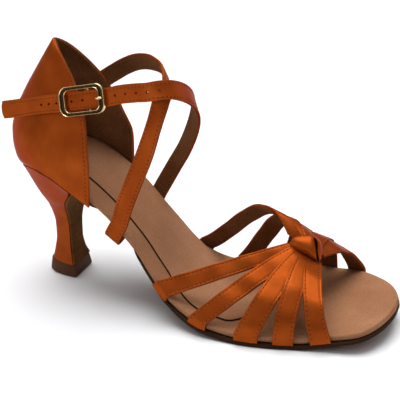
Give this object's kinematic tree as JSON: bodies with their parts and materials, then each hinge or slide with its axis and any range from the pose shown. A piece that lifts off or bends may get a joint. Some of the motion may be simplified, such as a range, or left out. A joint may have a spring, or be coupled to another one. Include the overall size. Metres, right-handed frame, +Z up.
{
  "type": "ballroom dance sandal",
  "caption": "Right dance sandal: pointed closed counter on a flared heel, ankle straps that cross over the instep to a buckle, and forefoot straps fanned out from a knot.",
  "frame": {"origin": "centre of the heel tip's floor face", "axes": "+X to the toe, +Y to the inner side with the big toe, +Z up"},
  "size_m": [0.2002, 0.0854, 0.1244],
  "materials": {
    "insole_cover": "matte",
    "sock_lining": "matte",
    "suede_sole": "suede",
    "heel_satin": "satin",
    "top_piece": "matte",
    "satin": "satin",
    "buckle_metal": "polished"
  },
  "bodies": {
    "root": {"insole": "insole_cover", "sock": "sock_lining", "outsole": "suede_sole", "heel_block": "heel_satin", "heel_tip": "top_piece", "upper_counter": "satin", "upper_vamp": "satin", "buckle_strap": "satin", "buckle_frame": "buckle_metal", "buckle_prong": "buckle_metal", "buckle_tab": "satin"}
  },
  "joints": []
}
